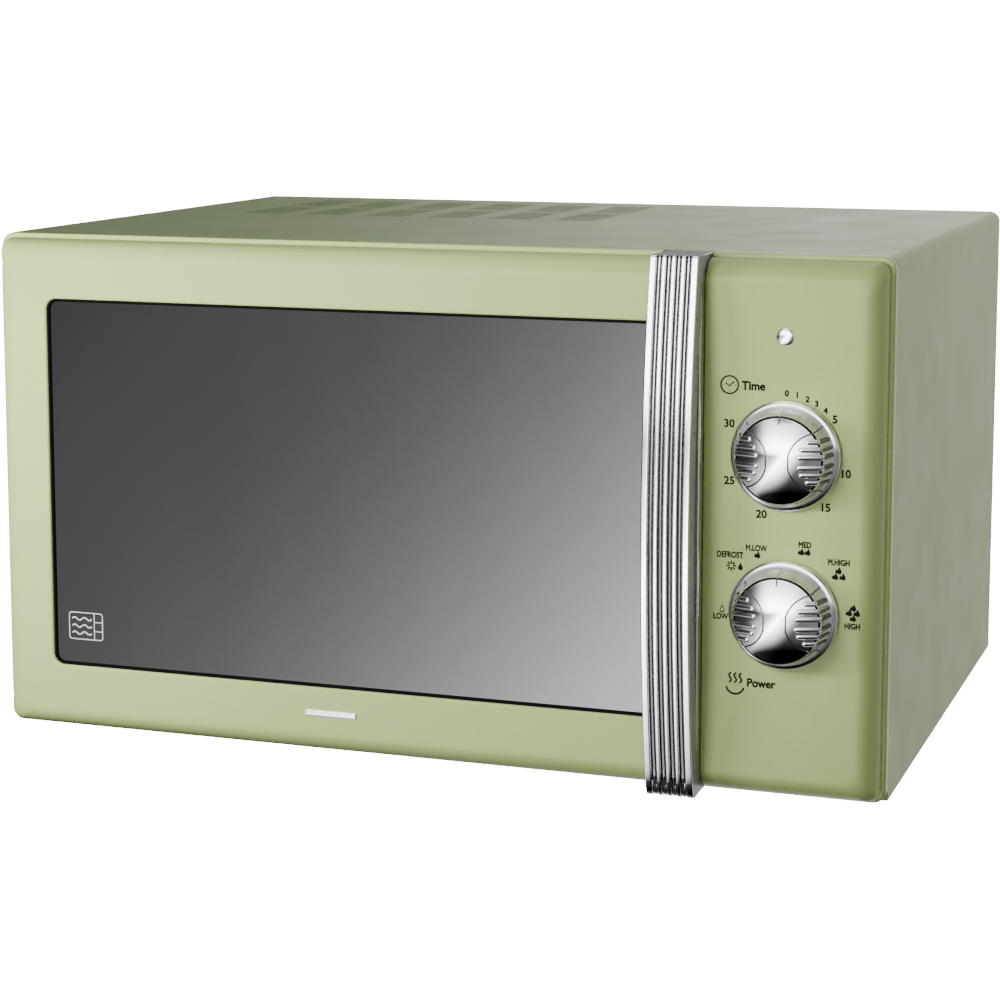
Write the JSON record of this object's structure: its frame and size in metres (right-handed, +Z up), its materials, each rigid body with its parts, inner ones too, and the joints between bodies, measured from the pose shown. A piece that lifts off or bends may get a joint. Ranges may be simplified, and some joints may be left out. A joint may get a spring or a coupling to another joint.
{
  "type": "microwave oven",
  "caption": "Countertop microwave oven with a left-hinged window door, bowed ribbed chrome handle, control panel with twin knobs, and a glass turntable on a roller ring.",
  "frame": {"origin": "middle of the overall width and depth, on the surface the feet stand on", "axes": "+X to the right of someone facing the door, +Y from the front to the rear, +Z up"},
  "size_m": [0.483, 0.396, 0.281],
  "materials": {
    "green_steel": "semi-matt powder coat",
    "green_plastic": "satin painted moulding",
    "chrome": "bright plated plastic",
    "zinc": "galvanised",
    "cavity_enamel": "grey stove enamel",
    "glass_tint": "dark mirrored tint",
    "glass_clear": "clear",
    "black_plastic": "fine texture",
    "white_plastic": "plain moulding",
    "rubber": "matt",
    "iron": "varnished laminations",
    "aluminium": "plain",
    "mica": "pressed mica sheet",
    "board": "coated board"
  },
  "bodies": {
    "oven_body": {"outer_casing": "green_steel", "rear_panel": "green_steel", "base_plate": "zinc", "motor_cover": "zinc", "foot_front_left": "rubber", "foot_front_right": "rubber", "foot_rear_left": "rubber", "foot_rear_right": "rubber", "rear_spacer_left": "black_plastic", "rear_spacer_right": "black_plastic", "cord_gland": "black_plastic", "cavity": "cavity_enamel", "front_frame": "green_steel", "hinge_bracket_lower": "zinc", "hinge_bracket_upper": "zinc", "control_panel": "green_plastic", "timer_unit": "white_plastic", "timer_bell": "zinc", "power_switch": "white_plastic", "latch_board": "white_plastic", "microswitch_primary": "black_plastic", "microswitch_monitor": "black_plastic", "microswitch_secondary": "black_plastic", "waveguide": "zinc", "waveguide_cover": "mica", "magnetron": "aluminium", "thermal_cutout": "white_plastic", "hv_transformer": "iron", "hv_capacitor": "aluminium", "capacitor_clamp": "zinc", "hv_diode": "black_plastic", "fan_shroud": "black_plastic", "fan_motor": "iron", "noise_filter": "board", "lamp_holder": "white_plastic", "oven_lamp": "glass_clear", "turntable_motor": "zinc"},
    "door": {"door_frame": "green_plastic", "door_glass": "glass_tint", "choke_frame": "zinc", "door_screen": "zinc", "door_inner_film": "glass_clear", "choke_cover": "black_plastic", "handle_bar": "chrome", "handle_base": "chrome", "handle_screw_lower": "zinc", "handle_screw_upper": "zinc"},
    "latch": {"latch_hooks": "white_plastic", "latch_spring": "zinc"},
    "timer": {"timer_knob": "chrome", "timer_shaft": "zinc"},
    "power": {"power_knob": "chrome", "power_shaft": "zinc"},
    "turntable": {"turntable_coupler": "white_plastic", "glass_tray": "glass_clear"},
    "roller_carrier": {"roller_ring": "white_plastic"},
    "wheel_1": {"roller_1": "white_plastic"},
    "wheel_2": {"roller_2": "white_plastic"},
    "wheel_3": {"roller_3": "white_plastic"},
    "fan": {"fan_blade": "white_plastic"}
  },
  "joints": [
    {"name": "door_hinge", "type": "hinge", "parent": "oven_body", "child": "door", "pos_m": [-0.232, -0.1645, 0.147], "axis": [0, 0, -1], "range_deg": [0, 100]},
    {"name": "latch_slide", "type": "slide", "parent": "door", "child": "latch", "axis": [0, 0, 1], "range_m": [0, 0.005], "stiffness_N_per_m": 300, "springref_m": -0.004, "deforming": ["latch_spring"]},
    {"name": "timer_turn", "type": "hinge", "parent": "oven_body", "child": "timer", "pos_m": [0.1925, -0.174, 0.185], "axis": [0, 1, 0], "range_deg": [0, 300]},
    {"name": "power_turn", "type": "hinge", "parent": "oven_body", "child": "power", "pos_m": [0.1925, -0.174, 0.107], "axis": [0, 1, 0], "range_deg": [-90, 90]},
    {"name": "turntable_spin", "type": "hinge", "parent": "oven_body", "child": "turntable", "pos_m": [-0.05, -0.0032, 0.05], "axis": [0, 0, 1], "continuous": true},
    {"name": "roller_ring_spin", "type": "hinge", "parent": "oven_body", "child": "roller_carrier", "pos_m": [-0.05, -0.0032, 0.0432], "axis": [0, 0, 1], "continuous": true},
    {"name": "roller_1_spin", "type": "hinge", "parent": "roller_carrier", "child": "wheel_1", "pos_m": [-0.05, 0.0938, 0.0432], "axis": [0, 1, 0], "continuous": true},
    {"name": "roller_2_spin", "type": "hinge", "parent": "roller_carrier", "child": "wheel_2", "pos_m": [-0.134, -0.0517, 0.0432], "axis": [-0.866, -0.5, 0], "continuous": true},
    {"name": "roller_3_spin", "type": "hinge", "parent": "roller_carrier", "child": "wheel_3", "pos_m": [0.034, -0.0517, 0.0432], "axis": [0.866, -0.5, 0], "continuous": true},
    {"name": "fan_spin", "type": "hinge", "parent": "oven_body", "child": "fan", "pos_m": [0.182, 0.166, 0.178], "axis": [0, 1, 0], "continuous": true}
  ],
  "couplings": [
    {"joint": "roller_ring_spin", "follows": "turntable_spin", "ratio": 0.5},
    {"joint": "roller_1_spin", "follows": "turntable_spin", "ratio": -6.9286},
    {"joint": "roller_2_spin", "follows": "turntable_spin", "ratio": -6.9286},
    {"joint": "roller_3_spin", "follows": "turntable_spin", "ratio": -6.9286}
  ]
}
